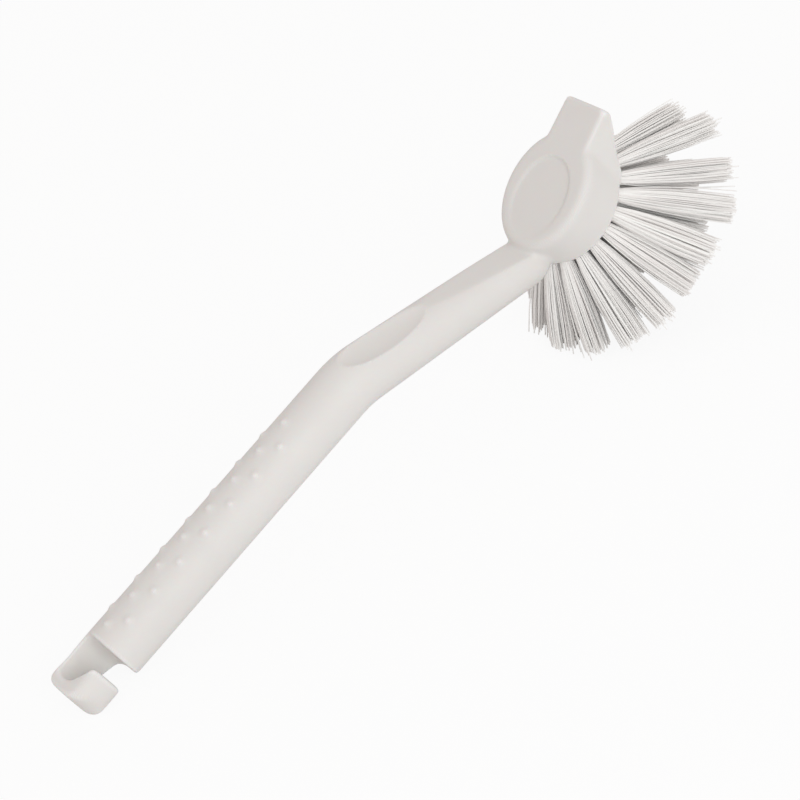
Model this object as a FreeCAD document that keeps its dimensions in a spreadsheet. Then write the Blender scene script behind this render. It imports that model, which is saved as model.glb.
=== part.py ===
"""Dish brush: a one-piece plastic handle and head with stapled bristle tufts.

Everything is first built in the grip's frame: X runs along the grip from the hook end to the
head, Z points to the dotted top side, Y is lateral. At the end one placement stands the brush
on its bristle tips and its hook end, +Z up, with the origin at the bottom centre.
"""
import FreeCAD
import Part
import Sketcher
import math
import os
from FreeCAD import Placement, Rotation, Vector

# Driving dimensions in millimetres and degrees, one sheet cell each
SIZES = {
    # grip
    "grip_radius": 10.4,
    "grip_length": 140.0,
    "dot_radius": 2.0,
    "dot_height": 0.95,
    "dot_pitch": 12.4,
    "dot_stagger": 5.2,
    "dot_start": 26.7,
    "dot_row_angle": 29.0,
    # hook at the end of the grip
    "hook_end": 0.8,
    "hook_length": 21.3,
    "hook_half_height": 5.6,
    "hook_mouth": 7.8,
    "hook_seat_x": 9.3,
    "hook_seat_y": 2.3,
    "hook_seat_radius": 3.3,
    "hook_finger_slope": 28.0,
    "hook_wall_slope": 15.0,
    "hook_far_round": 3.5,
    "hook_near_round": 7.0,
    "hook_inner_round": 4.5,
    "hook_edge_round": 1.8,
    "hook_lap": 2.0,
    # neck
    "bend_radius": 34.0,
    "neck_drop": 18.5,
    "neck_length": 79.5,
    "neck_end_radius": 8.9,
    "neck_round_back": 1.5,
    "neck_flat_start": 34.0,
    "neck_flat_depth": 0.9,
    "neck_flat_slope": 5.0,
    "thumb_length": 39.0,
    "thumb_width": 17.0,
    "thumb_depth": 3.0,
    "thumb_bowl": 4.0,
    "thumb_centre": 15.0,
    # head, measured from the centre of its top face
    "head_lift": 21.0,
    "head_reach": 23.7,
    "neck_sink": 8.8,
    "head_half_length": 22.1,
    "head_half_width": 18.5,
    "head_edge_round": 3.0,
    "dome_radius": 80.0,
    "dome_depth": 20.8,
    "recess_half_length": 15.0,
    "recess_half_width": 12.0,
    "recess_depth": 0.8,
    "recess_offset": 3.0,
    # scraper nose
    "scraper_reach": 33.0,
    "scraper_root_width": 20.6,
    "scraper_root_base": 38.0,
    "scraper_root_depth": 33.0,
    "scraper_edge_width": 19.7,
    "scraper_edge_thickness": 3.9,
    # bristle tufts and their anchors
    "hole_radius": 1.7,
    "hole_depth": 5.0,
    "tuft_clearance": 0.05,
    "tuft_length": 42.5,
    "tuft_handle_trim": 4.0,
    "tuft_stem_rise": 2.0,
    "tuft_tip_radius": 4.4,
    "tuft_crown": 5.0,
    "tuft_end_radius": 3.0,
    "anchor_bite": 0.35,
    "anchor_width": 0.4,
    "anchor_height": 1.6,
    "anchor_rise": 1.0,
}

# Rings of tufts: half length and half width of the ring of roots, splay along and across
RINGS = {
    "outer": (18.8, 13.8, 44.0, 38.0),
    "middle": (10.8, 8.3, 28.0, 23.0),
    "inner": (4.2, 3.4, 8.0, 6.0),
}
# How many tufts stand in each ring, and how many dots in each row
TUFT_COUNT = {"outer": 18, "middle": 9, "inner": 4}
DOT_COUNT = {"top": 8, "side": 7}
# Share of a step by which a ring's first tuft lies off the front
RING_START = {"outer": 0.0, "middle": 0.5, "inner": 0.5}
# The field of roots sits this far ahead of the head's centre
FIELD_OFFSET = 0.3

doc = FreeCAD.newDocument("DishBrush")
sheet = doc.addObject("Spreadsheet::Sheet", "Sizes")
for row, (alias, value) in enumerate(SIZES.items(), start=1):
    sheet.set(f"A{row}", alias)
    sheet.set(f"B{row}", str(value))
    sheet.setAlias(f"B{row}", alias)
doc.recompute()


def size(alias):
    """The value of one driving dimension."""
    return float(sheet.get(alias))


def cell(alias):
    """The expression that reads one driving dimension."""
    return f"Sizes.{alias}"


def primitive(kind, name, sizes, placement=Placement()):
    """A Part primitive with its sizes bound to the sheet."""
    obj = doc.addObject(f"Part::{kind}", name)
    for prop, expression in sizes.items():
        obj.setExpression(prop, expression)
    obj.Placement = placement
    return obj


def fuse(name, objects):
    """One solid from several."""
    obj = doc.addObject("Part::MultiFuse", name)
    obj.Shapes = objects
    obj.Refine = True
    return obj


def cut(name, base, tool):
    """base without tool."""
    obj = doc.addObject("Part::Cut", name)
    obj.Base = base
    obj.Tool = tool
    return obj


def common(name, objects):
    """The space that all the objects share."""
    obj = doc.addObject("Part::MultiCommon", name)
    obj.Shapes = objects
    return obj


def turn(axis, degrees):
    """A rotation about one axis."""
    return Rotation(Vector(*axis), degrees)


ALONG_X = turn((0, 1, 0), 90)


# Frames of the neck and the head in the grip's frame
def neck_frame():
    """Origin at the bend's corner, X along the neck."""
    return Placement(Vector(size("grip_length"), 0, 0), turn((0, 1, 0), size("neck_drop")))


def head_frame():
    """Origin at the centre of the head's top face, X towards the scraper, Z out of the top."""
    neck_end = neck_frame().multVec(Vector(size("neck_length"), 0, 0))
    rotation = turn((0, 1, 0), -size("head_lift"))
    to_centre = rotation.multVec(Vector(size("head_reach"), 0, size("neck_sink")))
    return Placement(neck_end.add(to_centre), rotation)


def bend_tangent():
    """Distance from the bend's corner to the ends of its arc."""
    return size("bend_radius") * math.tan(math.radians(size("neck_drop") / 2))


def make_grip():
    """Round grip from the hook to the bend."""
    start = Vector(size("hook_length"), 0, 0)
    grip = primitive("Cylinder", "GripBar", {"Radius": cell("grip_radius")}, Placement(start, ALONG_X))
    grip.Height = size("grip_length") - size("hook_length") - bend_tangent()
    return grip


def make_bend():
    """Elbow between grip and neck, an arc of a ring."""
    start = size("grip_length") - bend_tangent()
    sizes = {"Radius1": cell("bend_radius"), "Radius2": cell("grip_radius"), "Angle3": cell("neck_drop")}
    upright = Rotation(Vector(0, 0, 1), Vector(1, 0, 0), Vector(0, 1, 0), "XYZ")
    centre = Vector(start, 0, -size("bend_radius"))
    return primitive("Torus", "Elbow", sizes, Placement(centre, upright))


def make_neck():
    """Neck that tapers to a ball end inside the head."""
    frame = neck_frame()
    length = size("neck_length") - size("neck_round_back") - bend_tangent()
    sizes = {"Radius1": cell("grip_radius"), "Radius2": cell("neck_end_radius")}
    place = frame.multiply(Placement(Vector(bend_tangent(), 0, 0), ALONG_X))
    taper = primitive("Cone", "NeckTaper", sizes, place)
    taper.Height = length
    centre = frame.multiply(Placement(Vector(bend_tangent() + length, 0, 0), Rotation()))
    ball = primitive("Sphere", "NeckEnd", {"Radius": cell("neck_end_radius")}, centre)
    return cut("Neck", fuse("RoundNeck", [taper, ball]), make_flat_cutter())


def make_hook():
    """J-shaped hanging hook: a flat outline trimmed by the grip's round section."""
    radius = size("grip_radius")
    length = size("hook_length")
    tip = length - size("hook_mouth")
    end = size("hook_end")
    far = size("hook_far_round")
    near = size("hook_near_round")
    inner = size("hook_inner_round")
    lap = length + size("hook_lap")
    # the slot runs from the round seat to the mouth between two sloping tangents
    seat = size("hook_seat_radius")
    seat_x, seat_y = size("hook_seat_x"), size("hook_seat_y")
    finger_slope = math.radians(size("hook_finger_slope"))
    wall_slope = math.radians(size("hook_wall_slope"))
    finger_from = (seat_x - seat * math.sin(finger_slope), seat_y - seat * math.cos(finger_slope))
    finger_to = (tip, finger_from[1] - (tip - finger_from[0]) * math.tan(finger_slope))
    wall_from = (seat_x + seat * math.sin(wall_slope), seat_y + seat * math.cos(wall_slope))
    inner_x = length - inner
    wall_above = wall_from[1] - (inner_x - wall_from[0]) * math.tan(wall_slope)
    inner_y = wall_above - inner / math.cos(wall_slope)
    wall_to = (inner_x + inner * math.sin(wall_slope), inner_y + inner * math.cos(wall_slope))
    finger_angle = 270 - size("hook_finger_slope")
    wall_angle = 90 - size("hook_wall_slope")
    # corners of the outline; an entry with a radius starts an arc to the next corner
    outline = [
        ((lap, radius), None),
        ((end + far, radius), (far, (end + far, radius - far), 90, 180)),
        ((end, radius - far), None),
        ((end, near - radius), (near, (end + near, near - radius), 180, 270)),
        ((end + near, -radius), None),
        ((tip, -radius), None),
        (finger_to, None),
        (finger_from, (seat, (seat_x, seat_y), wall_angle, finger_angle)),
        (wall_from, None),
        (wall_to, (inner, (inner_x, inner_y), 0, wall_angle)),
        ((length, inner_y), None),
        ((lap, inner_y), None),
    ]
    body = doc.addObject("PartDesign::Body", "HookBody")
    sketch = body.newObject("Sketcher::SketchObject", "HookOutline")
    plane = [f for f in body.Origin.OriginFeatures if f.Role == "XY_Plane"][0]
    sketch.AttachmentSupport = (plane, [""])
    sketch.MapMode = "FlatFace"
    for index, (corner, arc) in enumerate(outline):
        following = outline[(index + 1) % len(outline)][0]
        if arc is None:
            start, end = Vector(*corner, 0), Vector(*following, 0)
            sketch.addGeometry(Part.LineSegment(start, end), False)
        else:
            arc_radius, centre, first, last = arc
            circle = Part.Circle(Vector(*centre, 0), Vector(0, 0, 1), arc_radius)
            sketch.addGeometry(Part.ArcOfCircle(circle, math.radians(first), math.radians(last)), False)
            label = sketch.addConstraint(Sketcher.Constraint("Radius", index, arc_radius))
            sketch.renameConstraint(label, f"round_{index}")
    # arcs 7 and 9 run against the outline's direction
    against = (7, 9)
    for index in range(len(outline)):
        following = (index + 1) % len(outline)
        end = 1 if index in against else 2
        start = 2 if following in against else 1
        sketch.addConstraint(Sketcher.Constraint("Coincident", index, end, following, start))
    sketch.setExpression("Constraints.round_1", cell("hook_far_round"))
    sketch.setExpression("Constraints.round_3", cell("hook_near_round"))
    sketch.setExpression("Constraints.round_7", cell("hook_seat_radius"))
    sketch.setExpression("Constraints.round_9", cell("hook_inner_round"))
    pad = body.newObject("PartDesign::Pad", "HookPlate")
    pad.Profile = sketch
    pad.setExpression("Length", "2 * " + cell("hook_half_height"))
    pad.Midplane = True
    doc.recompute()
    level = size("hook_half_height")
    rim = []
    for number, edge in enumerate(pad.Shape.Edges, start=1):
        box = edge.BoundBox
        flat = abs(box.ZMax - box.ZMin) < 1e-4 and abs(abs(box.ZMin) - level) < 1e-4
        if flat and box.XMin < length - 1e-4:
            rim.append(f"Edge{number}")
    rounded = body.newObject("PartDesign::Fillet", "HookRim")
    rounded.Base = (pad, rim)
    rounded.setExpression("Radius", cell("hook_edge_round"))
    bar = primitive("Cylinder", "HookBar", {"Radius": cell("grip_radius")}, Placement(Vector(), ALONG_X))
    bar.setExpression("Height", f"{cell('hook_length')} + {cell('hook_lap')}")
    return common("Hook", [body, bar])


def make_dots():
    """Three staggered rows of low domes along the top of the grip."""
    dots = []
    depth = size("grip_radius") + size("dot_height") - size("dot_radius")
    rows = ((-1, DOT_COUNT["side"]), (0, DOT_COUNT["top"]), (1, DOT_COUNT["side"]))
    for side, count in rows:
        angle = math.radians(side * size("dot_row_angle"))
        stagger = size("dot_stagger") if side else 0
        for index in range(count):
            along = size("dot_start") + stagger + index * size("dot_pitch")
            place = Placement(Vector(along, depth * math.sin(angle), depth * math.cos(angle)), Rotation())
            dots.append(primitive("Sphere", "Dot", {"Radius": cell("dot_radius")}, place))
    return dots


def make_thumb_cutter():
    """Shallow oval bowl on top of the neck, just past the bend."""
    taper = (size("grip_radius") - size("neck_end_radius")) * size("thumb_centre") / size("neck_length")
    crown = size("grip_radius") - taper
    lift = crown - size("thumb_depth") + size("thumb_bowl")
    sizes = {
        "Radius1": cell("thumb_bowl"),
        "Radius2": cell("thumb_length") + " / 2",
        "Radius3": cell("thumb_width") + " / 2",
    }
    place = neck_frame().multiply(Placement(Vector(size("thumb_centre"), 0, lift), Rotation()))
    return primitive("Ellipsoid", "ThumbBowl", sizes, place)


def make_flat_cutter():
    """Takes the crown off the neck, deeper towards the head."""
    height = size("grip_radius") - size("neck_flat_depth")
    slope = Placement(Vector(size("neck_flat_start"), -size("grip_radius"), height),
                      turn((0, 1, 0), size("neck_flat_slope")))
    sizes = {"Width": f"2 * {cell('grip_radius')}", "Height": cell("grip_radius")}
    cutter = primitive("Box", "NeckFlat", sizes, neck_frame().multiply(slope))
    cutter.setExpression("Length", cell("neck_length"))
    return cutter


def oval(name, half_length, half_width, height, placement):
    """An upright oval block whose top lies at the placement."""
    ring = primitive("Ellipse", name + "Ring", {"MajorRadius": cell(half_length), "MinorRadius": cell(half_width)})
    block = doc.addObject("Part::Extrusion", name)
    block.Base = ring
    block.DirMode = "Custom"
    block.Dir = Vector(0, 0, -1)
    block.setExpression("LengthFwd", cell(height))
    block.Solid = True
    block.Placement = placement
    return block


def section(name, x, top_width, base_width, depth):
    """A four-sided section across the nose, flat on top."""
    frame = doc.addObject("Part::Polygon", name)
    frame.Nodes = [
        Vector(x, -top_width / 2, 0),
        Vector(x, top_width / 2, 0),
        Vector(x, base_width / 2, -depth),
        Vector(x, -base_width / 2, -depth),
    ]
    frame.Close = True
    return frame


def make_nose():
    """Scraper nose whose flanks flare into the head's rim."""
    root = section("NoseRoot", 0, size("scraper_root_width"), size("scraper_root_base"), size("scraper_root_depth"))
    edge = section("NoseEdge", size("scraper_reach"), size("scraper_edge_width"), size("scraper_edge_width"),
                   size("scraper_edge_thickness"))
    nose = doc.addObject("Part::Loft", "Nose")
    nose.Sections = [root, edge]
    nose.Solid = True
    nose.Ruled = True
    return nose


def make_head():
    """Oval head and scraper nose with one domed underside."""
    frame = head_frame()
    block = oval("HeadBlock", "head_half_length", "head_half_width", "dome_depth", Placement())
    doc.recompute()
    rounded = doc.addObject("Part::Fillet", "HeadRounded")
    rounded.Base = block
    top = [i for i, e in enumerate(block.Shape.Edges, start=1) if e.BoundBox.ZMin > -1e-6]
    rounded.Edges = [(index, size("head_edge_round"), size("head_edge_round")) for index in top]
    centre = Vector(0, 0, size("dome_radius") - size("dome_depth"))
    dome = primitive("Sphere", "Dome", {"Radius": cell("dome_radius")}, Placement(centre, Rotation()))
    head = common("Head", [fuse("HeadAndNose", [rounded, make_nose()]), dome])
    head.Placement = frame
    return head


def make_recess_cutter():
    """Plain shallow oval recess in the head's top face."""
    place = head_frame().multiply(Placement(Vector(-size("recess_offset"), 0, size("recess_depth")), Rotation()))
    cutter = oval("Recess", "recess_half_length", "recess_half_width", "recess_depth", place)
    cutter.setExpression("LengthFwd", f"2 * {cell('recess_depth')}")
    return cutter


def ring_angles(count, start, half_length, half_width):
    """Angles on an oval that part it into equal lengths, the first a share of a step off the front."""
    steps = 720
    lengths = [0.0]
    for step in range(steps):
        first = 2 * math.pi * step / steps
        last = 2 * math.pi * (step + 1) / steps
        across = half_width * (math.sin(last) - math.sin(first))
        along = half_length * (math.cos(last) - math.cos(first))
        lengths.append(lengths[-1] + math.hypot(along, across))
    angles = []
    for index in range(count):
        wanted = lengths[-1] * (index + start) / count
        step = next(i for i in range(1, steps + 1) if lengths[i] >= wanted)
        part = (wanted - lengths[step - 1]) / (lengths[step] - lengths[step - 1])
        angles.append(2 * math.pi * (step - 1 + part) / steps)
    return angles


def tuft_frames():
    """For each ring, the tufts' frames (origin in the hole's mouth, Z out along the tuft) and trims.

    The tufts on the handle's side are trimmed shorter than those at the front.
    """
    frame = head_frame()
    dome_centre = size("dome_radius") - size("dome_depth")
    rings = {}
    for ring, (half_length, half_width, splay_along, splay_across) in RINGS.items():
        rings[ring] = []
        for angle in ring_angles(TUFT_COUNT[ring], RING_START[ring], half_length, half_width):
            x = FIELD_OFFSET + half_length * math.cos(angle)
            y = half_width * math.sin(angle)
            z = dome_centre - math.sqrt(size("dome_radius") ** 2 - x * x - y * y)
            lean_x = math.tan(math.radians(splay_along)) * math.cos(angle)
            lean_y = math.tan(math.radians(splay_across)) * math.sin(angle)
            out = Vector(lean_x, lean_y, -1)
            outwards = Vector(math.cos(angle), math.sin(angle), 0)
            rotation = Rotation(outwards, Vector(), out, "ZXY")
            trim = size("tuft_handle_trim") * (1 - math.cos(angle)) / 2
            rings[ring].append((frame.multiply(Placement(Vector(x, y, z), rotation)), trim))
    return rings


def make_anchor(frame):
    """Flat wire across the hole, biting into the wall on both sides."""
    length = 2 * (size("hole_radius") + size("anchor_bite"))
    corner = Vector(-length / 2, -size("anchor_width") / 2, size("anchor_rise") - size("hole_depth"))
    sizes = {
        "Length": f"2 * ({cell('hole_radius')} + {cell('anchor_bite')})",
        "Width": cell("anchor_width"),
        "Height": cell("anchor_height"),
    }
    return primitive("Box", "Anchor", sizes, frame.multiply(Placement(corner, Rotation())))


def make_tuft(name, frame, trim, anchor):
    """Bundle of filaments: stem that just clears its hole, flare, and a crown where the ends thin out."""
    stem_radius = f"{cell('hole_radius')} - {cell('tuft_clearance')}"
    bottom = frame.multiply(Placement(Vector(0, 0, -size("hole_depth")), Rotation()))
    stem = primitive("Cylinder", "Stem", {
        "Radius": stem_radius,
        "Height": f"{cell('hole_depth')} + {cell('tuft_stem_rise')}",
    }, bottom)
    waist = frame.multiply(Placement(Vector(0, 0, size("tuft_stem_rise")), Rotation()))
    flare = primitive("Cone", "Flare", {
        "Radius1": stem_radius,
        "Radius2": cell("tuft_tip_radius"),
        "Height": f"{cell('tuft_length')} - {cell('tuft_crown')} - {cell('tuft_stem_rise')} - {trim:.3f}",
    }, waist)
    shoulder = Placement(Vector(0, 0, size("tuft_length") - size("tuft_crown") - trim), Rotation())
    crown = primitive("Cone", "Crown", {
        "Radius1": cell("tuft_tip_radius"),
        "Radius2": cell("tuft_end_radius"),
        "Height": cell("tuft_crown"),
    }, frame.multiply(shoulder))
    tuft = cut("Tuft", fuse("Bundle", [stem, flare, crown]), anchor)
    tuft.Label = name
    return tuft


def make_hole(frame):
    """Blind hole for one tuft, run out past the dome."""
    bottom = frame.multiply(Placement(Vector(0, 0, -size("hole_depth")), Rotation()))
    sizes = {"Radius": cell("hole_radius"), "Height": f"1.5 * {cell('hole_depth')}"}
    return primitive("Cylinder", "TuftHole", sizes, bottom)


def rest_tilt(frames):
    """Angle that lays the hook's lower edge and the lowest bristle tips on one level."""
    edge_round = size("hook_edge_round")
    edge = Vector(size("hook_end") + edge_round, 0, edge_round - size("hook_half_height"))
    tilt = 0.0
    for _ in range(12):
        down = Vector(-math.sin(tilt), 0, -math.cos(tilt))
        slopes = []
        for frame, trim in frames:
            axis = frame.Rotation.multVec(Vector(0, 0, 1))
            lean = math.sqrt(max(0.0, 1 - axis.dot(down) ** 2))
            length = size("tuft_length") - trim
            discs = ((length, size("tuft_end_radius")),
                     (length - size("tuft_crown"), size("tuft_tip_radius")))
            for along, radius in discs:
                point = frame.multVec(Vector(0, 0, along)).sub(edge)
                reach = point.dot(down) + radius * lean - edge_round
                ahead = point.x * math.cos(tilt) - point.z * math.sin(tilt)
                slopes.append(math.atan2(reach, ahead))
        tilt += max(slopes)
    return math.degrees(tilt)


def check(objects):
    """Stops if anything failed to build."""
    for obj in doc.Objects:
        if "Invalid" in obj.State or "Error" in obj.State:
            raise RuntimeError(f"{obj.Name} failed: {obj.State}")
    for obj in objects:
        if obj.Shape.isNull() or not obj.Shape.isValid():
            raise RuntimeError(f"{obj.Label} has no valid shape")


def main():
    rings = tuft_frames()
    pieces = []
    anchors = []
    holes = []
    for ring, frames in rings.items():
        ring_anchors = [make_anchor(frame) for frame, trim in frames]
        for index, ((frame, trim), anchor) in enumerate(zip(frames, ring_anchors), start=1):
            pieces.append(make_tuft(f"tuft_{ring}_{index:02d}", frame, trim, anchor))
            holes.append(make_hole(frame))
        group = doc.addObject("Part::Compound", "AnchorRing")
        group.Links = ring_anchors
        group.Label = f"anchors_{ring}_ring"
        pieces.append(group)
        anchors += ring_anchors

    solid = fuse("Moulding", [make_grip(), make_bend(), make_neck(), make_hook(), make_head()])
    dotted = fuse("DottedMoulding", [solid, *make_dots()])
    relief = fuse("Relief", [make_thumb_cutter(), make_recess_cutter()])
    drilled = cut("DrilledMoulding", cut("ShapedMoulding", dotted, relief), fuse("TuftHoles", holes + anchors))
    drilled.Label = "handle_body"
    pieces.insert(0, drilled)
    doc.recompute()
    check(pieces)

    tilt = rest_tilt([frame for frames in rings.values() for frame in frames])
    turned = Placement(Vector(), turn((0, 1, 0), -tilt))
    whole = Part.makeCompound([piece.Shape for piece in pieces])
    whole.Placement = turned
    box = whole.optimalBoundingBox(False)
    to_origin = Vector(-box.Center.x, -box.Center.y, -box.ZMin)
    pose = Placement(to_origin, turned.Rotation)
    for piece in pieces:
        piece.Placement = pose.multiply(piece.Placement)
    doc.recompute()
    check(pieces)

    os.makedirs("parts", exist_ok=True)
    for piece in pieces:
        piece.Shape.exportStep(f"parts/{piece.Label}.step")
    body = pieces[0].Shape
    print(f"tilt {tilt:.2f}, solids in the body {len(body.Solids)}, volume {body.Volume:.0f}")
    print(f"box {box.XLength:.1f} x {box.YLength:.1f} x {box.ZLength:.1f}, pose {pose}")


main()
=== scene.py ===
"""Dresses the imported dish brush: a satin white moulding, tufts of separate filaments and a pale studio.

The moulding and the tufts are modelled in the grip's own frame (X along the grip from the hook end, Z to the
dotted side), in millimetres times MM, and then laid down by rest_pose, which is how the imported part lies.
"""
import math
import random

import bpy
from mathutils import Euler, Matrix, Vector


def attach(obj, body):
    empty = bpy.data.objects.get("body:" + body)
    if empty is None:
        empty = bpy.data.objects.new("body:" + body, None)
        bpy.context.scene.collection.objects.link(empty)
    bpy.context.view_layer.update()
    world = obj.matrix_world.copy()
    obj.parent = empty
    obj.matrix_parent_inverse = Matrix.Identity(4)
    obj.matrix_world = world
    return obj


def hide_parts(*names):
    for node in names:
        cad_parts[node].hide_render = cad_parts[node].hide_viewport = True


bl_info = {
    "name": "Dish brush",
    "version": (1, 0, 0),
    "blender": (4, 5, 0),
    "location": "3D View > Sidebar > Dish brush",
    "description": "Builds a dish brush with filament tufts around its packed CAD frame",
    "category": "Object",
}

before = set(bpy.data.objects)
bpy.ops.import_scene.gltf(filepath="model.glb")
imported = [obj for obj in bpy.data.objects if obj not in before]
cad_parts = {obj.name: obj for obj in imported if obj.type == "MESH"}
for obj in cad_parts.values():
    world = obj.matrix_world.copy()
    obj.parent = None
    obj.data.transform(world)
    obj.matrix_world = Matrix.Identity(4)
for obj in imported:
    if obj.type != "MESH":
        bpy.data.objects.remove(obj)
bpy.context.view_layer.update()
MM = 0.001
BODY = "root"

# How the grip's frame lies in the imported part
REST_TILT = math.radians(16.9015)
REST_SHIFT = Vector((-147.613, 0.0, 4.67997)) * MM

# The moulding in millimetres
GRIP_LENGTH = 140.0
DOT_START, DOT_PITCH, DOT_STAGGER = 26.7, 12.4, 5.2
DOT_ROW_ANGLE = math.radians(29)
DOT_ROWS = ((-1, 7), (0, 8), (1, 7))
BEND_RADIUS = 34.0
NECK_DROP = math.radians(18.5)
NECK_LENGTH = 79.5
NECK_END_RADIUS = 8.9
NECK_ROUND_BACK = 1.5
NECK_FLAT_START, NECK_FLAT_DEPTH = 34.0, 0.9
NECK_FLAT_SLOPE = math.radians(5)
THUMB_HALVES = (19.5, 8.5, 4.0)
THUMB_CENTRE, THUMB_SINK, THUMB_DEPTH = 15.0, 0.28, 3.0
THUMB_TURN = math.radians(9)
HEAD_LIFT = math.radians(21.0)
HEAD_REACH = 23.7
HEAD_HALF_LENGTH, HEAD_HALF_WIDTH, HEAD_ROUND = 22.1, 18.5, 3.0
NECK_SINK = 8.8
DOME_RADIUS = 80.0
DOME_DEPTH = 20.8
NOSE_REACH = 33.0
NOSE_TOP_HALF, NOSE_BASE_HALF, NOSE_ROOT_DEPTH = 10.3, 19.0, 33.0
NOSE_EDGE_HALF, NOSE_EDGE_DEPTH, NOSE_ROUND = 9.85, 3.9, 1.2
RECESS_HALF_LENGTH, RECESS_HALF_WIDTH, RECESS_CUT = 15.0, 12.0, 1.4
RECESS_BACK, RECESS_LIFT = 3.0, 0.15
RECESS_TILT = math.radians(1.6)
HOLE_RADIUS = 1.7
HOLE_DEPTH = 5.0
HOLE_CLEAR = 4.0

# The hook in millimetres: its bar, and its slot, which is wider on the upper side
HOOK_END, HOOK_LENGTH, HOOK_LAP = 0.8, 20.8, 2.0
HOOK_LOW, HOOK_HIGH = -5.6, 8.0
HOOK_BAR = 25.0
HOOK_END_ROUND, HOOK_FAR_ROUND, HOOK_NEAR_ROUND = 3.0, 3.5, 7.0
HOOK_TIP = 13.5
HOOK_MOUTH = -20.0
SEAT_X, SEAT_Y, SEAT_RADIUS = 9.3, 2.3, 3.3
SLOT_LOW, SLOT_HIGH = -6.5, 11.0
SEAT_LOW, SEAT_HIGH = 1.5, 6.8
LEAN_LOW, LEAN_HIGH = -0.2, 3.0
FINGER_SLOPE = math.radians(28)
WALL_SLOPE = math.radians(15)
INNER_ROUND = 4.5

# The tufts in millimetres
TUFT_LENGTH = 42.5
TUFT_ROOT = 1.5
TUFT_SUNK = 2.5
TIPS_OVER_FLOOR = 0.1
CURLS = (0.5, 1.6, 2.8, 4.0)
GOLDEN_ANGLE = 2.39996

# How single tufts have been bent out of line:
# degrees round the head, degrees inwards, shares of length and width
TUFT_BENT = {
    "tuft_outer_01": (2, 0, 0.90, 1.05),
    "tuft_outer_02": (0, 14, 0.95, 0.7),
    "tuft_outer_03": (0, 10, 0.95, 0.8),
    "tuft_outer_14": (0, 0, 0.96, 1.2),
    "tuft_outer_15": (-4.5, 0, 0.97, 1.25),
    "tuft_outer_16": (-1, 0, 1.05, 1.05),
    "tuft_outer_17": (-2, 0, 1.02, 0.95),
    "tuft_outer_18": (6, -1, 1.03, 0.95),
}

# The stage: the light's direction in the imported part's frame, the camera in the grip's frame
KEY_FROM = (-0.12, -0.85, 0.5)
KEY_DISTANCE, KEY_SIZE = 1.3, 1.0
KEY_COLOUR = (0.90, 0.975, 1.0)
SKY_COLOUR = (1.0, 0.957, 0.94)
FLOOR_GLOW = 0.91
CAMERA_PLACE = Vector((20.573, -544.132, 512.454)) * MM
CAMERA_TURN = (38.71163, 27.53124, -43.18766)


class HandleSettings(bpy.types.PropertyGroup):
    """Sizes and finish of the moulding."""

    grip_radius: bpy.props.FloatProperty(
        name="Grip radius", description="Radius of the round grip", default=10.4 * MM, unit="LENGTH")
    dot_radius: bpy.props.FloatProperty(
        name="Dot radius", description="Ball radius of the raised dots", default=2.0 * MM, unit="LENGTH")
    dot_height: bpy.props.FloatProperty(
        name="Dot height", description="How far the dots stand out", default=0.95 * MM, unit="LENGTH")
    voxel: bpy.props.FloatProperty(
        name="Skin size", description="Face size of the moulded skin", default=0.57 * MM, unit="LENGTH")
    plastic: bpy.props.FloatVectorProperty(
        name="Plastic", description="Colour of the moulding", subtype="COLOR", size=3,
        default=(0.875, 0.866, 0.86))


class TuftSettings(bpy.types.PropertyGroup):
    """Sizes and finish of the bristle tufts."""

    filaments: bpy.props.IntProperty(
        name="Filaments", description="Filaments in one tuft", default=170, min=10)
    thickness: bpy.props.FloatProperty(
        name="Thickness", description="Diameter of one filament", default=0.40 * MM, unit="LENGTH")
    tip_radius: bpy.props.FloatProperty(
        name="Tip radius", description="Radius of a tuft at its tips", default=4.3 * MM, unit="LENGTH")
    variants: bpy.props.IntProperty(
        name="Variants", description="Different tufts that are copied", default=6, min=1)
    seed: bpy.props.IntProperty(
        name="Seed", description="Start of the random draws", default=7)
    bristle: bpy.props.FloatVectorProperty(
        name="Bristle", description="Colour of the filaments", subtype="COLOR", size=3,
        default=(0.985, 0.942, 0.922))


class StageSettings(bpy.types.PropertyGroup):
    """Floor, light and camera."""

    floor: bpy.props.FloatVectorProperty(
        name="Floor", description="Colour of the floor", subtype="COLOR", size=3,
        default=(0.86, 0.86, 0.86))
    key_power: bpy.props.FloatProperty(
        name="Key light", description="Power of the large soft light", default=5.7, unit="POWER")
    sky: bpy.props.FloatProperty(
        name="Sky", description="Strength of the even light all round", default=0.72)
    lens: bpy.props.FloatProperty(
        name="Lens", description="Focal length on a 36 mm sensor", default=102.3, unit="CAMERA")


# Selecting and modelling
def only(*objects):
    """Selects these objects alone, the first one active."""
    if bpy.context.object is not None and bpy.context.object.mode != "OBJECT":
        bpy.ops.object.mode_set(mode="OBJECT")
    bpy.ops.object.select_all(action="DESELECT")
    for obj in objects:
        obj.select_set(True)
    bpy.context.view_layer.objects.active = objects[0]


def added(name):
    """The object that an add operator has just made, with its place applied."""
    obj = bpy.context.object
    obj.name = name
    only(obj)
    bpy.ops.object.transform_apply(location=True, rotation=True, scale=True)
    return obj


def place(obj, matrix):
    """Moves a finished object and puts the move into its mesh."""
    obj.matrix_world = matrix @ obj.matrix_world
    only(obj)
    bpy.ops.object.transform_apply(location=True, rotation=True, scale=True)


def edit_edges(obj, wanted):
    """Enters edit mode with the edges selected whose two ends pass the test."""
    only(obj)
    bpy.ops.object.mode_set(mode="EDIT")
    bpy.ops.mesh.select_mode(type="EDGE")
    bpy.ops.mesh.select_all(action="DESELECT")
    bpy.ops.object.mode_set(mode="OBJECT")
    points = obj.data.vertices
    for edge in obj.data.edges:
        first, last = (points[i].co / MM for i in edge.vertices)
        edge.select = wanted(first, last)
    bpy.ops.object.mode_set(mode="EDIT")


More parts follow.
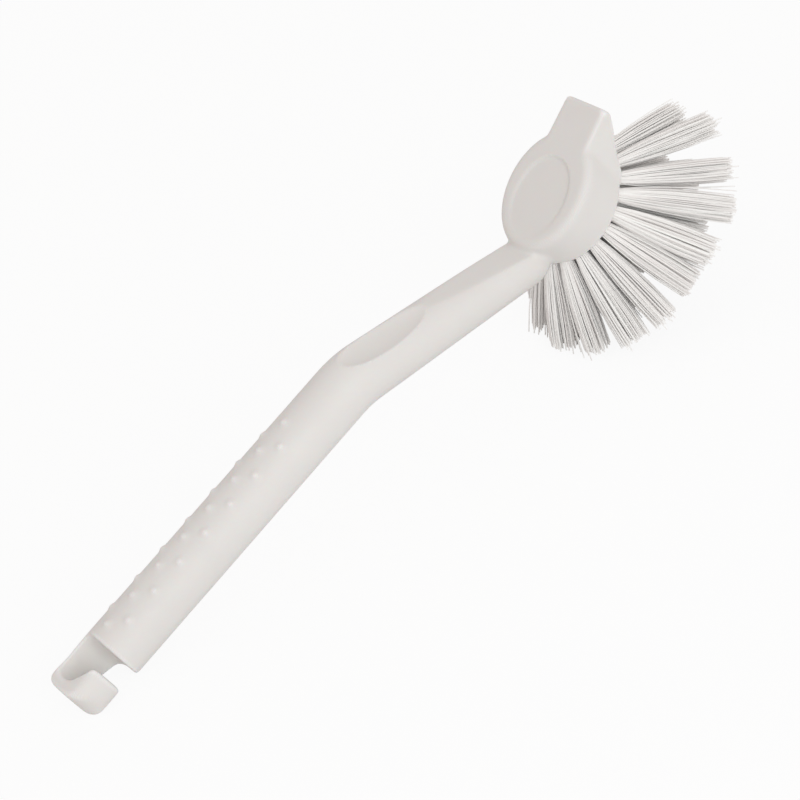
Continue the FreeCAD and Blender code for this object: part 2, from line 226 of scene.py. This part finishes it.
def bevel_edges(obj, wanted, width, segments):
    """Rounds the edges that pass the test."""
    edit_edges(obj, wanted)
    bpy.ops.mesh.bevel(offset=width * MM, segments=segments, affect="EDGES")
    bpy.ops.object.mode_set(mode="OBJECT")


def apply_modifier(obj, kind, **values):
    """Adds a modifier with these values and applies it."""
    only(obj)
    modifier = obj.modifiers.new(kind.title(), kind)
    for name, value in values.items():
        setattr(modifier, name, value)
    bpy.ops.object.modifier_apply(modifier=modifier.name)


def combine(obj, tool, operation):
    """Cuts, keeps or adds the tool's space, then drops the tool."""
    apply_modifier(obj, "BOOLEAN", operation=operation, object=tool, solver="EXACT")
    bpy.data.objects.remove(tool)


def join(objects):
    """One object from several."""
    only(*objects)
    bpy.ops.object.join()
    return bpy.context.object


def soften(obj, centre, radius, iterations):
    """Smooths the skin round a point, fading out towards a radius in millimetres."""
    group = obj.vertex_groups.new(name="soft")
    for vertex in obj.data.vertices:
        near = 1 - (vertex.co - centre).length / (radius * MM)
        if near > 0:
            group.add([vertex.index], min(1.0, 2 * near), "REPLACE")
    apply_modifier(obj, "SMOOTH", factor=0.5, iterations=iterations, vertex_group=group.name)
    obj.vertex_groups.clear()


# Frames
def rest_pose():
    """From the grip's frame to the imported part's."""
    return Matrix.Translation(REST_SHIFT) @ Matrix.Rotation(-REST_TILT, 4, "Y")


def neck_frame():
    """Origin at the bend's corner, X along the neck."""
    return Matrix.Translation((GRIP_LENGTH * MM, 0, 0)) @ Matrix.Rotation(NECK_DROP, 4, "Y")


def head_frame():
    """Origin at the centre of the head's top face, X to the scraper, Z out of the top."""
    turned = Matrix.Rotation(-HEAD_LIFT, 4, "Y")
    end = neck_frame() @ Vector((NECK_LENGTH * MM, 0, 0))
    return Matrix.Translation(end + turned @ (Vector((HEAD_REACH, 0, NECK_SINK)) * MM)) @ turned


# The moulding
def model_shaft(radius):
    """Grip, bend and neck drawn out of one round face."""
    tangent = BEND_RADIUS * math.tan(NECK_DROP / 2)
    bpy.ops.mesh.primitive_circle_add(vertices=128, radius=radius, fill_type="NGON",
                                      location=(HOOK_LENGTH * MM, 0, 0), rotation=(0, math.pi / 2, 0))
    shaft = added("shaft")
    bpy.ops.object.mode_set(mode="EDIT")
    bpy.ops.mesh.select_all(action="SELECT")
    straight = (GRIP_LENGTH - tangent - HOOK_LENGTH) * MM
    bpy.ops.mesh.extrude_region_move(TRANSFORM_OT_translate={"value": (straight, 0, 0)})
    centre = Vector((GRIP_LENGTH - tangent, 0, -BEND_RADIUS)) * MM
    bpy.ops.mesh.spin(steps=16, angle=-NECK_DROP, center=centre, axis=(0, 1, 0))
    length = NECK_LENGTH - NECK_ROUND_BACK - tangent
    along = neck_frame().to_3x3() @ Vector((length * MM, 0, 0))
    bpy.ops.mesh.extrude_region_move(TRANSFORM_OT_translate={"value": along})
    end = neck_frame() @ Vector(((tangent + length) * MM, 0, 0))
    shrink = NECK_END_RADIUS * MM / radius
    bpy.ops.transform.resize(value=(shrink, shrink, shrink), center_override=end)
    bpy.ops.mesh.select_all(action="SELECT")
    bpy.ops.mesh.normals_make_consistent(inside=False)
    bpy.ops.object.mode_set(mode="OBJECT")
    bpy.ops.mesh.primitive_uv_sphere_add(segments=64, ring_count=32, radius=NECK_END_RADIUS * MM,
                                         location=end)
    combine(shaft, added("neck_end"), "UNION")
    # the crown of the neck is planed off towards the head
    bpy.ops.mesh.primitive_cube_add(size=1)
    plane = added("plane")
    plane.scale = (NECK_LENGTH * MM, 24 * MM, 10 * MM)
    plane.location = (NECK_LENGTH / 2 * MM, 0, 5 * MM)
    added("plane")
    crown = Matrix.Translation(Vector((NECK_FLAT_START, 0, radius / MM - NECK_FLAT_DEPTH)) * MM)
    slope = crown @ Matrix.Rotation(NECK_FLAT_SLOPE, 4, "Y")
    place(plane, neck_frame() @ slope)
    combine(shaft, plane, "DIFFERENCE")
    return shaft


def arc(centre, radius, first, last, steps):
    """Points on an arc, from one angle in degrees to the other."""
    angles = [math.radians(first + (last - first) * step / steps) for step in range(steps + 1)]
    return [(centre[0] + radius * math.cos(a), centre[1] + radius * math.sin(a)) for a in angles]


def drawn_plate(name, below, above, low, high):
    """A flat face drawn point by point, pulled up into a plate with another outline on top."""
    bpy.ops.mesh.primitive_circle_add(vertices=len(below), radius=MM, fill_type="NGON")
    plate = added(name)
    for vertex, (x, y) in zip(plate.data.vertices, below):
        vertex.co = Vector((x, y, low)) * MM
    bpy.ops.object.mode_set(mode="EDIT")
    bpy.ops.mesh.select_all(action="SELECT")
    bpy.ops.mesh.extrude_region_move(TRANSFORM_OT_translate={"value": (0, 0, (high - low) * MM)})
    bpy.ops.object.mode_set(mode="OBJECT")
    corners = [Vector(point) * MM for point in below]
    for vertex in plate.data.vertices:
        if vertex.co.z > (low + high) / 2 * MM:
            nearest = min(range(len(corners)), key=lambda i: (corners[i] - vertex.co.xy).length)
            vertex.co.xy = Vector(above[nearest]) * MM
    bpy.ops.object.mode_set(mode="EDIT")
    bpy.ops.mesh.select_all(action="SELECT")
    bpy.ops.mesh.normals_make_consistent(inside=False)
    bpy.ops.object.mode_set(mode="OBJECT")
    return plate


def slot_outline(seat_radius, lean):
    """Outline of the hook's slot at one level, from the mouth up the grip's end and back along the finger."""
    finger_from = (SEAT_X - SEAT_RADIUS * math.sin(FINGER_SLOPE),
                   SEAT_Y - SEAT_RADIUS * math.cos(FINGER_SLOPE) - lean)
    finger_to = (HOOK_TIP, finger_from[1] - (HOOK_TIP - finger_from[0]) * math.tan(FINGER_SLOPE))
    seat_x = finger_from[0] + seat_radius * math.sin(FINGER_SLOPE)
    seat_y = finger_from[1] + seat_radius * math.cos(FINGER_SLOPE)
    wall_from = (seat_x + seat_radius * math.sin(WALL_SLOPE), seat_y + seat_radius * math.cos(WALL_SLOPE))
    inner_x = HOOK_LENGTH - INNER_ROUND
    above = wall_from[1] - (inner_x - wall_from[0]) * math.tan(WALL_SLOPE)
    inner = arc((inner_x, above - INNER_ROUND / math.cos(WALL_SLOPE)), INNER_ROUND, 0, 75, 10)
    seat = arc((seat_x, seat_y), seat_radius, 75, 242, 20)
    return [(HOOK_TIP, HOOK_MOUTH), (HOOK_LENGTH, HOOK_MOUTH), *inner, *seat, finger_to]


def model_hook(radius):
    """J-shaped hook: a round-ended bar, flat above and below, with a slot that opens wider to the top."""
    bpy.ops.mesh.primitive_cylinder_add(
        vertices=128, radius=radius, depth=HOOK_BAR * MM,
        location=((HOOK_END + HOOK_BAR / 2) * MM, 0, 0), rotation=(0, math.pi / 2, 0))
    hook = added("hook")
    bevel_edges(hook, lambda a, b: a.x < 2 and b.x < 2, HOOK_END_ROUND, 8)
    reach, lap = radius / MM, HOOK_LENGTH + HOOK_LAP
    far_x, near_x = HOOK_END + HOOK_FAR_ROUND, HOOK_END + HOOK_NEAR_ROUND
    far = arc((far_x, reach - HOOK_FAR_ROUND), HOOK_FAR_ROUND, 90, 180, 8)
    near = arc((near_x, HOOK_NEAR_ROUND - reach), HOOK_NEAR_ROUND, 180, 270, 12)
    plan = [(lap, reach + 1), (far_x, reach + 1), *far, *near, (near_x, -reach - 1), (lap, -reach - 1)]
    combine(hook, drawn_plate("plan", plan, plan, HOOK_LOW, HOOK_HIGH), "INTERSECT")
    below = slot_outline(SEAT_LOW, LEAN_LOW)
    above = slot_outline(SEAT_HIGH, LEAN_HIGH)
    combine(hook, drawn_plate("slot", below, above, SLOT_LOW, SLOT_HIGH), "DIFFERENCE")
    return hook


def model_nose():
    """Scraper nose: a tall flared root that is drawn out to a thin straight edge."""
    bpy.ops.mesh.primitive_plane_add(size=MM)
    nose = added("nose")
    root = ((0, -NOSE_TOP_HALF, 0), (0, NOSE_TOP_HALF, 0),
            (0, -NOSE_BASE_HALF, -NOSE_ROOT_DEPTH), (0, NOSE_BASE_HALF, -NOSE_ROOT_DEPTH))
    for vertex, point in zip(nose.data.vertices, root):
        vertex.co = Vector(point) * MM
    bpy.ops.object.mode_set(mode="EDIT")
    bpy.ops.mesh.select_all(action="SELECT")
    bpy.ops.mesh.extrude_region_move(TRANSFORM_OT_translate={"value": (NOSE_REACH * MM, 0, 0)})
    bpy.ops.object.mode_set(mode="OBJECT")
    for vertex in nose.data.vertices:
        if vertex.co.x > 1 * MM:
            vertex.co.y = math.copysign(NOSE_EDGE_HALF * MM, vertex.co.y)
            vertex.co.z = max(vertex.co.z, -NOSE_EDGE_DEPTH * MM)
    bpy.ops.object.mode_set(mode="EDIT")
    bpy.ops.mesh.select_all(action="SELECT")
    bpy.ops.mesh.normals_make_consistent(inside=False)
    bpy.ops.object.mode_set(mode="OBJECT")
    bevel_edges(nose, lambda a, b: a.z > -0.1 and b.z > -0.1 and max(a.x, b.x) > 1, NOSE_ROUND, 5)
    bevel_edges(nose, lambda a, b: a.x > 31 and b.x > 31 and abs(a.z - b.z) > 1, NOSE_ROUND, 5)
    return nose


def model_head():
    """Oval head with a rounded top edge, scraper nose and domed underside."""
    bpy.ops.mesh.primitive_cylinder_add(
        vertices=160, radius=1, depth=1, location=(0, 0, -DOME_DEPTH / 2 * MM),
        scale=(HEAD_HALF_LENGTH * MM, HEAD_HALF_WIDTH * MM, DOME_DEPTH * MM))
    head = added("head")
    bevel_edges(head, lambda a, b: a.z > -0.1 and b.z > -0.1, HEAD_ROUND, 8)
    combine(head, model_nose(), "UNION")
    centre = DOME_RADIUS - DOME_DEPTH
    bpy.ops.mesh.primitive_uv_sphere_add(segments=160, ring_count=96, radius=DOME_RADIUS * MM,
                                         location=(0, 0, centre * MM))
    combine(head, added("dome"), "INTERSECT")
    place(head, head_frame())
    return head


def model_dots(settings):
    """Three staggered rows of low domes along the top of the grip."""
    bpy.ops.mesh.primitive_uv_sphere_add(segments=24, ring_count=16, radius=settings.dot_radius)
    first = added("dot")
    depth = settings.grip_radius + settings.dot_height - settings.dot_radius
    dots = []
    for side, count in DOT_ROWS:
        angle = DOT_ROW_ANGLE * side
        for index in range(count):
            along = DOT_START + DOT_PITCH * index + (DOT_STAGGER if side else 0)
            only(first)
            bpy.ops.object.duplicate(linked=False)
            dot = bpy.context.object
            dot.location = (along * MM, depth * math.sin(angle), depth * math.cos(angle))
            dots.append(added("dot"))
    bpy.data.objects.remove(first)
    return dots


def tuft_axis(name):
    """Where a CAD tuft's hole opens, its direction and its free length, from the CAD node itself."""
    points = [vertex.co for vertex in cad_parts[name].data.vertices]
    middle = sum(points, Vector()) / len(points)
    axis = Vector((0.3, 0.1, -1))
    for _ in range(60):
        axis = sum(((point - middle) * (point - middle).dot(axis) for point in points), Vector()).normalized()
    head = (rest_pose() @ head_frame()).translation
    if (middle - head).dot(axis) < 0:
        axis = -axis
    reach = [(point - middle).dot(axis) for point in points]
    mouth = middle + axis * (min(reach) + HOLE_DEPTH * MM)
    return mouth, axis, max(reach) - min(reach) - HOLE_DEPTH * MM


def upright(axis):
    """A rotation that takes Z to the axis."""
    return axis.to_track_quat("Z", "Y").to_matrix().to_4x4()


def model_holes(names):
    """Blind holes for the tufts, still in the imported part's frame."""
    bpy.ops.mesh.primitive_cylinder_add(
        vertices=24, radius=HOLE_RADIUS * MM, depth=(HOLE_DEPTH + HOLE_CLEAR) * MM,
        location=(0, 0, (HOLE_CLEAR - HOLE_DEPTH) / 2 * MM))
    first = added("hole")
    holes = []
    for name in names:
        mouth, axis, _ = tuft_axis(name)
        only(first)
        bpy.ops.object.duplicate(linked=False)
        hole = bpy.context.object
        place(hole, Matrix.Translation(mouth) @ upright(axis))
        holes.append(hole)
    bpy.data.objects.remove(first)
    return join(holes)


def model_bowl(radius):
    """Cutter for the thumb rest, turned a little to one side."""
    bpy.ops.mesh.primitive_uv_sphere_add(segments=96, ring_count=48, radius=1,
                                         scale=[half * MM for half in THUMB_HALVES])
    bowl = added("bowl")
    lift = radius / MM - THUMB_SINK - THUMB_DEPTH + THUMB_HALVES[2]
    turned = neck_frame() @ Matrix.Rotation(THUMB_TURN, 4, "X")
    place(bowl, turned @ Matrix.Translation(Vector((THUMB_CENTRE, 0, lift)) * MM))
    return bowl


def model_recess():
    """Cutter for the plain shallow recess in the head's top, deeper to one end."""
    bpy.ops.mesh.primitive_cylinder_add(
        vertices=128, radius=1, depth=1,
        scale=(RECESS_HALF_LENGTH * MM, RECESS_HALF_WIDTH * MM, RECESS_CUT * MM))
    recess = added("recess")
    tilted = Matrix.Rotation(RECESS_TILT, 4, "Y")
    place(recess, head_frame() @ Matrix.Translation((-RECESS_BACK * MM, 0, RECESS_LIFT * MM)) @ tilted)
    return recess


def soften_joins(handle):
    """Softens the hook, and blends the neck and the nose into the head on both sides."""
    soften(handle, Vector((9.0, 0, 4.0)) * MM, 17.0, 14)
    for side in (-1, 1):
        beside_neck = Vector((NECK_LENGTH + 4, 8.0 * side, -1.0)) * MM
        beside_nose = Vector((20.0, 14.0 * side, -10.0)) * MM
        soften(handle, neck_frame() @ beside_neck, 10.0, 60)
        soften(handle, head_frame() @ beside_nose, 10.0, 60)


def mark_crevice_shade(obj):
    """Paints crevices and edges into a colour attribute; the plastic turns its crevices into painted shade.
    """
    only(obj)
    bpy.ops.geometry.color_attribute_add(name="crevice_shade", domain="POINT", data_type="FLOAT_COLOR",
                                         color=(1, 1, 1, 1))
    bpy.ops.object.mode_set(mode="VERTEX_PAINT")
    bpy.ops.paint.vertex_color_dirt(blur_strength=1.0, blur_iterations=3, clean_angle=math.radians(180),
                                    dirt_angle=0, dirt_only=False)
    bpy.ops.object.mode_set(mode="OBJECT")


def tuft_names():
    """The CAD tufts."""
    return sorted(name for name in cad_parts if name.startswith("tuft_"))


# Materials
def new_material(name):
    """An empty node material with a principled shader."""
    material = bpy.data.materials.new(name)
    material.use_nodes = True
    tree = material.node_tree
    return material, tree, tree.nodes["Principled BSDF"]


def noise(tree, coordinates, scale, detail, roughness=0.5):
    """A noise texture on the piece's own coordinates."""
    node = tree.nodes.new("ShaderNodeTexNoise")
    node.inputs["Scale"].default_value = scale
    node.inputs["Detail"].default_value = detail
    node.inputs["Roughness"].default_value = roughness
    tree.links.new(coordinates, node.inputs["Vector"])
    return node.outputs["Fac"]


def spread(tree, value, low, high, start=0.3, end=0.7):
    """Maps a texture's middle range onto low to high."""
    node = tree.nodes.new("ShaderNodeMapRange")
    node.inputs["From Min"].default_value = start
    node.inputs["From Max"].default_value = end
    node.inputs["To Min"].default_value = low
    node.inputs["To Max"].default_value = high
    tree.links.new(value, node.inputs["Value"])
    return node.outputs["Result"]


def mix(tree, share, first, last):
    """Mixes two colours, each a socket or plain numbers."""
    node = tree.nodes.new("ShaderNodeMix")
    node.data_type = "RGBA"
    tree.links.new(share, node.inputs["Factor"])
    for socket, colour in ((node.inputs[6], first), (node.inputs[7], last)):
        if isinstance(colour, bpy.types.NodeSocket):
            tree.links.new(colour, socket)
        else:
            socket.default_value = (*colour, 1)
    return node.outputs[2]


def bump(tree, height, strength, distance, normal=None):
    """A bump on top of another normal."""
    node = tree.nodes.new("ShaderNodeBump")
    node.inputs["Strength"].default_value = strength
    node.inputs["Distance"].default_value = distance
    tree.links.new(height, node.inputs["Height"])
    if normal is not None:
        tree.links.new(normal, node.inputs["Normal"])
    return node.outputs["Normal"]


def attribute(tree, name):
    """A value painted on the mesh."""
    node = tree.nodes.new("ShaderNodeAttribute")
    node.attribute_name = name
    return node


def shade(colour, amount):
    """A colour made lighter or darker."""
    return tuple(min(1.0, part * amount) for part in colour)


def moulded_plastic(colour):
    """Satin white plastic: faint clouding, smudged gloss, fine mould grain and painted shade that greys and
    warms the crevices.
    """
    material, tree, shader = new_material("satin_white_plastic")
    place_on = tree.nodes.new("ShaderNodeTexCoord").outputs["Object"]
    clouds = spread(tree, noise(tree, place_on, 38, 4), 0, 1)
    tone = mix(tree, clouds, shade(colour, 0.965), shade(colour, 1.02))
    # painted shade: the base colour is darkened and warmed in crevices and creases, where shade falls
    crevice_shade = attribute(tree, "crevice_shade").outputs["Fac"]
    crevice = spread(tree, crevice_shade, 0.55, 0.0, 0.2, 0.5)
    crevice_shaded_tone = mix(tree, crevice, tone, (colour[0] * 0.80, colour[1] * 0.77, colour[2] * 0.73))
    tree.links.new(crevice_shaded_tone, shader.inputs["Base Color"])
    smudge = spread(tree, noise(tree, place_on, 160, 5, 0.6), 0.44, 0.58)
    tree.links.new(smudge, shader.inputs["Roughness"])
    waves = bump(tree, noise(tree, place_on, 55, 2), 0.25, 0.00012)
    grain = bump(tree, noise(tree, place_on, 2600, 2), 0.18, 0.00002, waves)
    tree.links.new(grain, shader.inputs["Normal"])
    shader.inputs["Specular IOR Level"].default_value = 0.4
    shader.inputs["Subsurface Weight"].default_value = 0.12
    shader.inputs["Subsurface Scale"].default_value = 0.002
    return material


def filament_plastic(colour):
    """Drawn filament: each strand a little lighter or darker and more or less glossy, with fine flecks."""
    material, tree, shader = new_material("white_filament")
    place_on = tree.nodes.new("ShaderNodeTexCoord").outputs["Object"]
    strand = attribute(tree, "strand").outputs["Fac"]
    tone = mix(tree, strand, shade(colour, 0.90), shade(colour, 1.06))
    flecks = spread(tree, noise(tree, place_on, 900, 3), 0, 0.3)
    tone = mix(tree, flecks, tone, shade(colour, 0.9))
    tree.links.new(tone, shader.inputs["Base Color"])
    gloss = spread(tree, strand, 0.32, 0.52, 0, 1)
    tree.links.new(gloss, shader.inputs["Roughness"])
    tree.links.new(bump(tree, noise(tree, place_on, 3000, 2), 0.2, 0.00002), shader.inputs["Normal"])
    shader.inputs["Specular IOR Level"].default_value = 0.3
    return material


def wire_steel():
    """Plain drawn wire with fine scratches."""
    material, tree, shader = new_material("flat_steel_wire")
    place_on = tree.nodes.new("ShaderNodeTexCoord").outputs["Object"]
    scratches = noise(tree, place_on, 1500, 4)
    tone = mix(tree, spread(tree, scratches, 0, 1), (0.52, 0.51, 0.49), (0.66, 0.65, 0.63))
    tree.links.new(tone, shader.inputs["Base Color"])
    tree.links.new(spread(tree, scratches, 0.28, 0.45), shader.inputs["Roughness"])
    shader.inputs["Metallic"].default_value = 1.0
    return material


def finish(obj, material, slot, *replaced):
    """Gives a piece its material, hangs it under the body's empty and hides the CAD nodes it replaces."""
    obj.data.materials.clear()
    obj.data.materials.append(material)
    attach(obj, BODY)
    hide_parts(*replaced)


class DISHBRUSH_OT_handle(bpy.types.Operator):
    """Model the moulding: hook, grip, bend, neck, head and scraper in one skin"""

    bl_idname = "dishbrush.handle"
    bl_label = "Handle"

    def execute(self, context):
        settings = context.scene.dish_brush_handle
        radius = settings.grip_radius
        pieces = [model_shaft(radius), model_hook(radius), model_head(), *model_dots(settings)]
        handle = join(pieces)
        handle.name = "handle"
        apply_modifier(handle, "REMESH", mode="VOXEL", voxel_size=settings.voxel)
        apply_modifier(handle, "SMOOTH", factor=0.5, iterations=5)
        soften_joins(handle)
        combine(handle, model_bowl(radius), "DIFFERENCE")
        combine(handle, model_recess(), "DIFFERENCE")
        place(handle, rest_pose())
        combine(handle, model_holes(tuft_names()), "DIFFERENCE")
        apply_modifier(handle, "REMESH", mode="VOXEL", voxel_size=settings.voxel)
        apply_modifier(handle, "SMOOTH", factor=0.5, iterations=3)
        only(handle)
        bpy.ops.object.shade_smooth()
        mark_crevice_shade(handle)
        finish(handle, moulded_plastic(settings.plastic), "body_plastic", "handle_body")
        return {"FINISHED"}


# The tufts
def model_filament(settings, length, curl):
    """One drawn filament along Z that curls towards -X."""
    bpy.ops.mesh.primitive_cylinder_add(vertices=6, radius=settings.thickness / 2, depth=length,
                                        location=(0, 0, length / 2))
    filament = added("filament")
    edit_edges(filament, lambda a, b: abs(a.z - b.z) > 1)
    bpy.ops.mesh.subdivide(number_cuts=3)
    bpy.ops.object.mode_set(mode="OBJECT")
    for point in filament.data.vertices:
        point.co.x -= curl * (point.co.z / length) ** 2
    return filament


def model_tuft(settings, filaments, length, draw):
    """A bundle of filaments that stands on the mouth of its hole, along Z."""
    strands = []
    sunk = TUFT_SUNK * MM
    for index in range(settings.filaments):
        share = math.sqrt((index + 0.5) / settings.filaments)
        angle = index * GOLDEN_ANGLE + draw.uniform(-0.15, 0.15)
        root = TUFT_ROOT * MM * share
        tip = settings.tip_radius * share ** 0.9 + draw.gauss(0, 0.35 * MM)
        reach = length * draw.uniform(0.925, 1.0)
        luck = draw.random()
        if luck < 0.05:
            reach = length * draw.uniform(0.6, 0.9)
        elif luck > 0.965:
            reach = length * draw.uniform(1.0, 1.035)
            tip += draw.uniform(0.5, 1.8) * MM
        curl, filament = filaments[min(len(filaments) - 1, int(share * len(filaments)))]
        only(filament)
        bpy.ops.object.duplicate(linked=False)
        strand = bpy.context.object
        lean = math.atan2(tip + curl - root, length)
        turn = Matrix.Rotation(angle, 4, "Z") @ Matrix.Translation((root, 0, -sunk))
        stretch = Matrix.Diagonal((1, 1, (reach + sunk) / length, 1))
        sway = Matrix.Rotation(draw.gauss(0, 0.012), 4, "X")
        strand.matrix_world = turn @ sway @ Matrix.Rotation(lean, 4, "Y") @ stretch
        strands.append(strand)
    tuft = join(strands)
    bpy.ops.object.transform_apply(location=True, rotation=True, scale=True)
    return tuft


def mark_strands(tuft, corners, draw):
    """Gives each filament a value of its own."""
    values = []
    for _ in range(len(tuft.data.vertices) // corners):
        values += [min(1.0, max(0.0, draw.gauss(0.55, 0.25)))] * corners
    layer = tuft.data.attributes.new("strand", "FLOAT", "POINT")
    layer.data.foreach_set("value", values)


class DISHBRUSH_OT_tufts(bpy.types.Operator):
    """Model the bristle tufts out of separate filaments and set them in their holes"""

    bl_idname = "dishbrush.tufts"
    bl_label = "Tufts"

    def execute(self, context):
        settings = context.scene.dish_brush_tufts
        draw = random.Random(settings.seed)
        length = TUFT_LENGTH * MM
        filaments = [(curl * MM, model_filament(settings, length, curl * MM)) for curl in CURLS]
        corners = len(filaments[0][1].data.vertices)
        masters = []
        for _ in range(settings.variants):
            master = model_tuft(settings, filaments, length, draw)
            mark_strands(master, corners, draw)
            masters.append(master)
        material = filament_plastic(settings.bristle)
        for index, name in enumerate(tuft_names()):
            mouth, axis, free = tuft_axis(name)
            unbent = (draw.gauss(0, 1.5), draw.gauss(0, 1.0), 1.0, draw.uniform(1.05, 1.2))
            around, inwards, share, wide = TUFT_BENT.get(name, unbent)
            up = (rest_pose() @ head_frame()).to_3x3() @ Vector((0, 0, 1))
            axis = Matrix.Rotation(math.radians(inwards), 3, axis.cross(-up)) @ axis
            axis = Matrix.Rotation(math.radians(around), 3, up) @ axis
            free *= share
            only(masters[index % len(masters)])
            bpy.ops.object.duplicate(linked=False)
            tuft = bpy.context.object
            tuft.name = "bristles_" + name
            size = Matrix.Diagonal((wide, wide * draw.uniform(0.94, 1.0), free / length, 1))
            spin = Matrix.Rotation(draw.uniform(0, 2 * math.pi), 4, "Z")
            place(tuft, Matrix.Translation(mouth) @ upright(axis) @ spin @ size)
            bpy.ops.object.mode_set(mode="EDIT")
            bpy.ops.mesh.select_all(action="SELECT")
            bpy.ops.mesh.bisect(plane_co=(0, 0, TIPS_OVER_FLOOR * MM), plane_no=(0, 0, 1),
                                use_fill=True, clear_inner=True)
            bpy.ops.object.mode_set(mode="OBJECT")
            finish(tuft, material, "bristle", name)
        for master in masters:
            bpy.data.objects.remove(master)
        for _, filament in filaments:
            bpy.data.objects.remove(filament)
        return {"FINISHED"}


class DISHBRUSH_OT_anchors(bpy.types.Operator):
    """Give the flat wire anchors inside the head their steel"""

    bl_idname = "dishbrush.anchors"
    bl_label = "Anchors"

    def execute(self, context):
        material = wire_steel()
        for name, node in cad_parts.items():
            if name.startswith("anchors_"):
                node.data.materials.clear()
                node.data.materials.append(material)
        return {"FINISHED"}


# The stage
def floor_material(colour):
    """Pale matt floor that the camera sees near white, with a soft shadow left on it."""
    material, tree, shader = new_material("pale_floor")
    shader.inputs["Base Color"].default_value = (*colour, 1)
    shader.inputs["Roughness"].default_value = 0.9
    glow = tree.nodes.new("ShaderNodeEmission")
    glow.inputs["Strength"].default_value = 1.0
    path = tree.nodes.new("ShaderNodeLightPath")
    seen = tree.nodes.new("ShaderNodeMath")
    seen.operation = "MULTIPLY"
    seen.inputs[1].default_value = FLOOR_GLOW
    blend = tree.nodes.new("ShaderNodeMixShader")
    tree.links.new(path.outputs["Is Camera Ray"], seen.inputs[0])
    tree.links.new(seen.outputs[0], blend.inputs["Fac"])
    tree.links.new(shader.outputs[0], blend.inputs[1])
    tree.links.new(glow.outputs[0], blend.inputs[2])
    tree.links.new(blend.outputs[0], tree.nodes["Material Output"].inputs["Surface"])
    return material


def build_world(strength):
    """Even light all round, white where the camera sees it."""
    world = bpy.data.worlds.new("even_light")
    bpy.context.scene.world = world
    world.use_nodes = True
    tree = world.node_tree
    sky = tree.nodes["Background"]
    sky.inputs["Color"].default_value = (*SKY_COLOUR, 1)
    sky.inputs["Strength"].default_value = strength
    white = tree.nodes.new("ShaderNodeBackground")
    white.inputs["Color"].default_value = (1, 1, 1, 1)
    path = tree.nodes.new("ShaderNodeLightPath")
    blend = tree.nodes.new("ShaderNodeMixShader")
    tree.links.new(path.outputs["Is Camera Ray"], blend.inputs["Fac"])
    tree.links.new(sky.outputs[0], blend.inputs[1])
    tree.links.new(white.outputs[0], blend.inputs[2])
    tree.links.new(blend.outputs[0], tree.nodes["World Output"].inputs["Surface"])


def soft_light(name, towards, distance, size, power):
    """A large area light that shines on the brush from one side."""
    bpy.ops.object.light_add(type="AREA")
    light = bpy.context.object
    light.name = name
    light.data.size = size
    light.data.energy = power
    light.data.color = KEY_COLOUR
    direction = Vector(towards).normalized()
    light.location = direction * distance + Vector((0, 0, 0.04))
    light.rotation_euler = direction.to_track_quat("Z", "Y").to_euler()


class DISHBRUSH_OT_stage(bpy.types.Operator):
    """Set up the floor, the light and the camera"""

    bl_idname = "dishbrush.stage"
    bl_label = "Stage"

    def execute(self, context):
        settings = context.scene.dish_brush_stage
        bpy.ops.mesh.primitive_plane_add(size=8)
        floor = added("floor")
        floor.data.materials.append(floor_material(settings.floor))
        build_world(settings.sky)
        soft_light("key", KEY_FROM, KEY_DISTANCE, KEY_SIZE, settings.key_power)
        turned = Euler([math.radians(angle) for angle in CAMERA_TURN], "XYZ").to_matrix().to_4x4()
        bpy.ops.object.camera_add()
        camera = context.object
        camera.name = "camera"
        camera.matrix_world = rest_pose() @ Matrix.Translation(CAMERA_PLACE) @ turned
        camera.data.sensor_width = 36
        camera.data.lens = settings.lens
        context.scene.camera = camera
        context.scene.view_settings.view_transform = "Standard"
        return {"FINISHED"}


class DISHBRUSH_PT_panel(bpy.types.Panel):
    """Lists the pieces of the dish brush"""

    bl_idname = "DISHBRUSH_PT_panel"
    bl_label = "Dish brush"
    bl_space_type = "VIEW_3D"
    bl_region_type = "UI"
    bl_category = "Dish brush"

    def draw(self, context):
        scene = context.scene
        for settings in (scene.dish_brush_handle, scene.dish_brush_tufts, scene.dish_brush_stage):
            box = self.layout.box()
            for name in settings.__annotations__:
                box.prop(settings, name)
        for operator in OPERATORS:
            self.layout.operator(operator.bl_idname)


SETTINGS = {
    "dish_brush_handle": HandleSettings,
    "dish_brush_tufts": TuftSettings,
    "dish_brush_stage": StageSettings,
}
OPERATORS = (DISHBRUSH_OT_handle, DISHBRUSH_OT_tufts, DISHBRUSH_OT_anchors, DISHBRUSH_OT_stage)
CLASSES = (*SETTINGS.values(), *OPERATORS, DISHBRUSH_PT_panel)


def register():
    for cls in CLASSES:
        bpy.utils.register_class(cls)
    for name, cls in SETTINGS.items():
        setattr(bpy.types.Scene, name, bpy.props.PointerProperty(type=cls))


def unregister():
    for name in SETTINGS:
        delattr(bpy.types.Scene, name)
    for cls in reversed(CLASSES):
        bpy.utils.unregister_class(cls)


def main():
    register()
    bpy.ops.dishbrush.handle()
    bpy.ops.dishbrush.tufts()
    bpy.ops.dishbrush.anchors()
    bpy.ops.dishbrush.stage()


if __name__ == "__main__":
    main()
